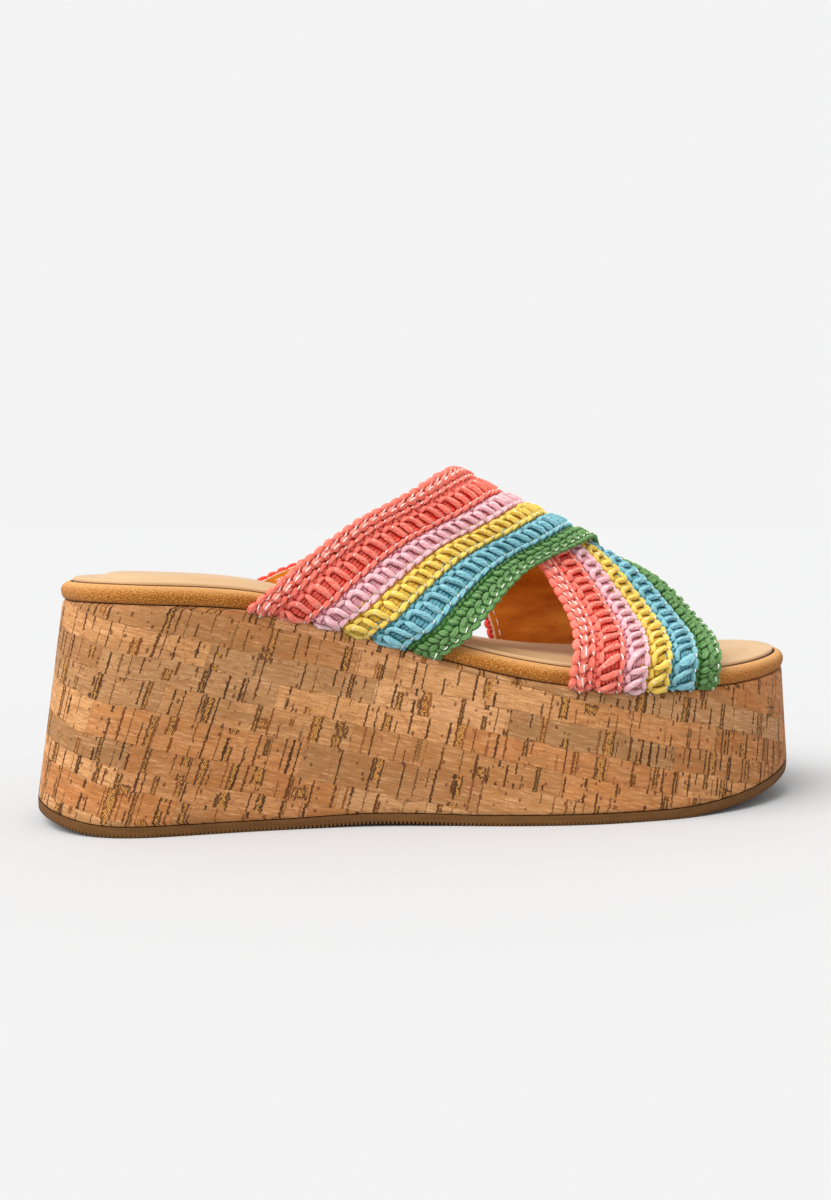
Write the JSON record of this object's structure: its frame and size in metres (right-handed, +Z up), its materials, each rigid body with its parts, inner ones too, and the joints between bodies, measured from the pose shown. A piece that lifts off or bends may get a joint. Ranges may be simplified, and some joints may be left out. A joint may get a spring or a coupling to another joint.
{
  "type": "platform slipper",
  "caption": "Backless open-toe flatform mule, right foot: tall cork wedge, suede-edged footbed, padded insole and two crossed crochet bands in rainbow stripes.",
  "frame": {"origin": "centre of the shoe's bounding box, at the floor that the outsole stands on", "axes": "+X from heel to toe, +Y to the inner side of the foot, +Z up"},
  "size_m": [0.262, 0.1011, 0.1144],
  "materials": {
    "outsole_rubber": "matte brown rubber sheet",
    "cork": "patched natural cork veneer, satin",
    "suede": "tan suede, short nap",
    "insole_lining": "smooth pale tan lining leather",
    "coral_yarn": "coral cotton crochet yarn",
    "pink_yarn": "pink cotton crochet yarn",
    "yellow_yarn": "yellow cotton crochet yarn",
    "blue_yarn": "light blue cotton crochet yarn",
    "green_yarn": "green cotton crochet yarn",
    "white_thread": "off-white sewing thread",
    "strap_lining": "tan smooth lining leather"
  },
  "bodies": {
    "root": {"outsole": "outsole_rubber", "wedge": "cork", "footbed": "suede", "insole": "insole_lining", "upper": "coral_yarn"}
  },
  "joints": []
}
